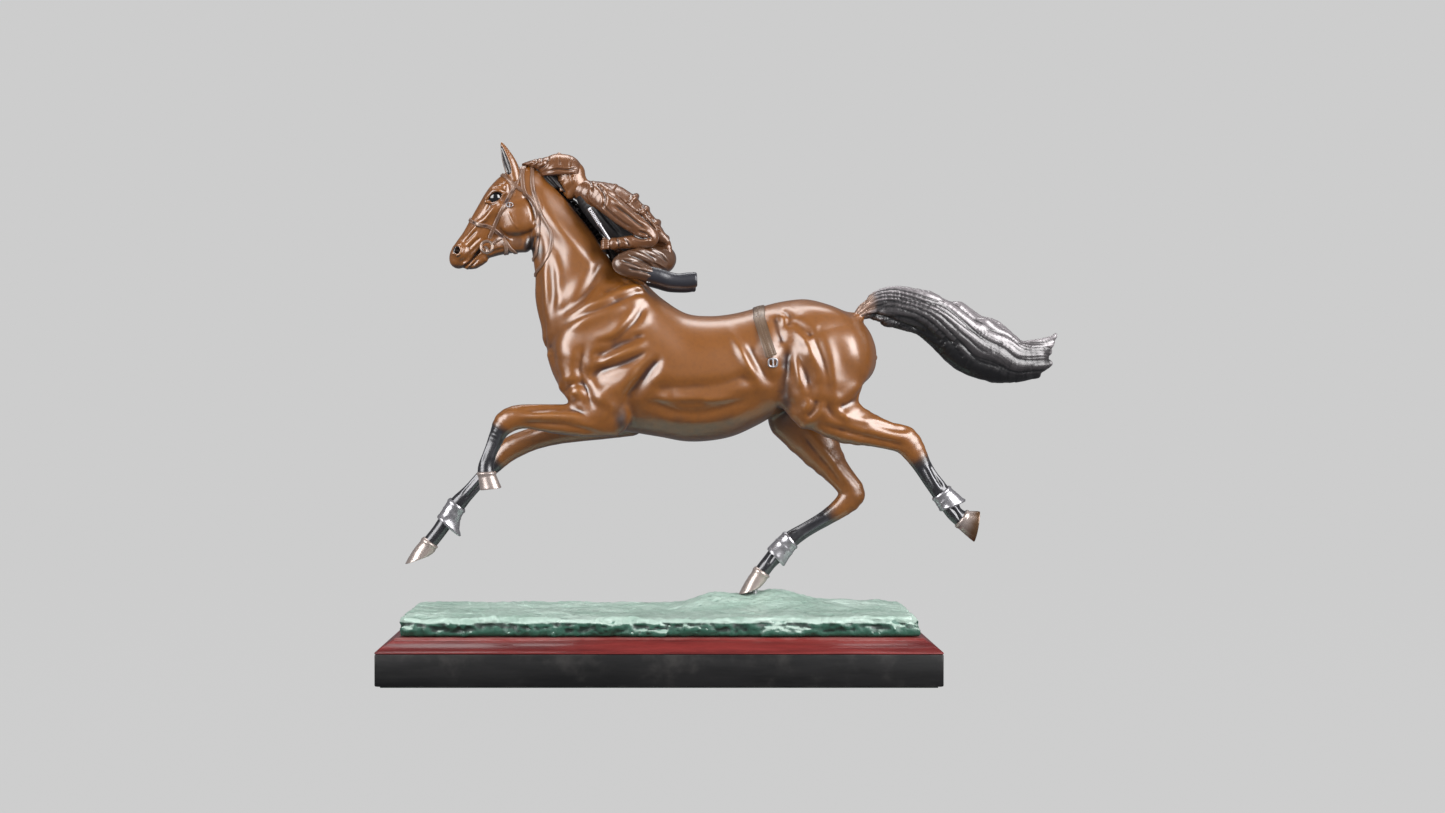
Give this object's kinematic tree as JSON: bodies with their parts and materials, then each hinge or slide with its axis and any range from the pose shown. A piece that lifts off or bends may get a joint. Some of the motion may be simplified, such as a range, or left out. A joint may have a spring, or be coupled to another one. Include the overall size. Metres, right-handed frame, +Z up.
{
  "type": "horse and jockey statuette",
  "caption": "Bronze statuette of a galloping racehorse with a crouching jockey, standing on one hind hoof on a green ground casting over a two-tone timber plinth",
  "frame": {"origin": "centre of the felt underside of the plinth", "axes": "+X along the plinth towards the horse's tail, +Y towards the horse's right side, +Z up"},
  "size_m": [0.5585, 0.16, 0.4427],
  "materials": {
    "black_lacquer": "black lacquered timber, satin",
    "red_lacquer": "red mahogany, glossy",
    "felt": "green felt",
    "verdigris": "bronze with a pale green patina, matt",
    "steel": "plain steel",
    "bay_bronze": "bronze with a warm brown patina, waxed to a gloss",
    "dark_bronze": "bronze with a blue-black patina, rubbed bright on the ridges",
    "horn_patina": "bronze with a horn-coloured patina",
    "pewter_patina": "bronze with a silver-grey patina",
    "strap_bronze": "bronze with a brown-grey patina",
    "jockey_bronze": "bronze with a brown patina, rubbed on the folds"
  },
  "bodies": {
    "root": {"plinth_block": "black_lacquer", "plinth_moulding": "red_lacquer", "felt_pad": "felt", "ground_casting": "verdigris", "mounting_stud": "steel", "stud_nut": "steel", "stud_washer": "steel", "left_end_screw": "steel", "right_end_screw": "steel", "neck_dowel": "steel", "left_foreleg_dowel": "steel", "right_foreleg_dowel": "steel", "left_hind_leg_dowel": "steel", "right_hind_leg_dowel": "steel", "jockey_pin": "steel", "body_casting": "bay_bronze", "neck_casting": "bay_bronze", "head_casting": "bay_bronze", "left_ear": "bay_bronze", "right_ear": "bay_bronze", "left_foreleg": "bay_bronze", "right_foreleg": "bay_bronze", "left_hind_leg": "bay_bronze", "right_hind_leg": "bay_bronze", "mane": "dark_bronze", "tail_casting": "dark_bronze", "left_fore_cannon": "dark_bronze", "right_fore_cannon": "dark_bronze", "left_hind_cannon": "dark_bronze", "right_hind_cannon": "dark_bronze", "left_riding_boot": "dark_bronze", "right_riding_boot": "dark_bronze", "left_fore_hoof": "horn_patina", "right_fore_hoof": "horn_patina", "left_hind_hoof": "horn_patina", "right_hind_hoof": "horn_patina", "right_fore_boot": "pewter_patina", "left_hind_boot": "pewter_patina", "right_hind_boot": "pewter_patina", "left_bit_ring": "pewter_patina", "right_bit_ring": "pewter_patina", "back_strap_buckle": "pewter_patina", "whip": "pewter_patina", "crownpiece": "strap_bronze", "left_cheekpiece": "strap_bronze", "right_cheekpiece": "strap_bronze", "browband": "strap_bronze", "noseband": "strap_bronze", "throatlatch": "strap_bronze", "neck_strap": "strap_bronze", "curb_strap": "strap_bronze", "back_strap": "strap_bronze", "jacket": "jockey_bronze", "left_sleeve": "jockey_bronze", "right_sleeve": "jockey_bronze", "left_hand": "jockey_bronze", "right_hand": "jockey_bronze", "breeches": "jockey_bronze", "jockey_head": "jockey_bronze", "cap": "jockey_bronze"}
  },
  "joints": []
}
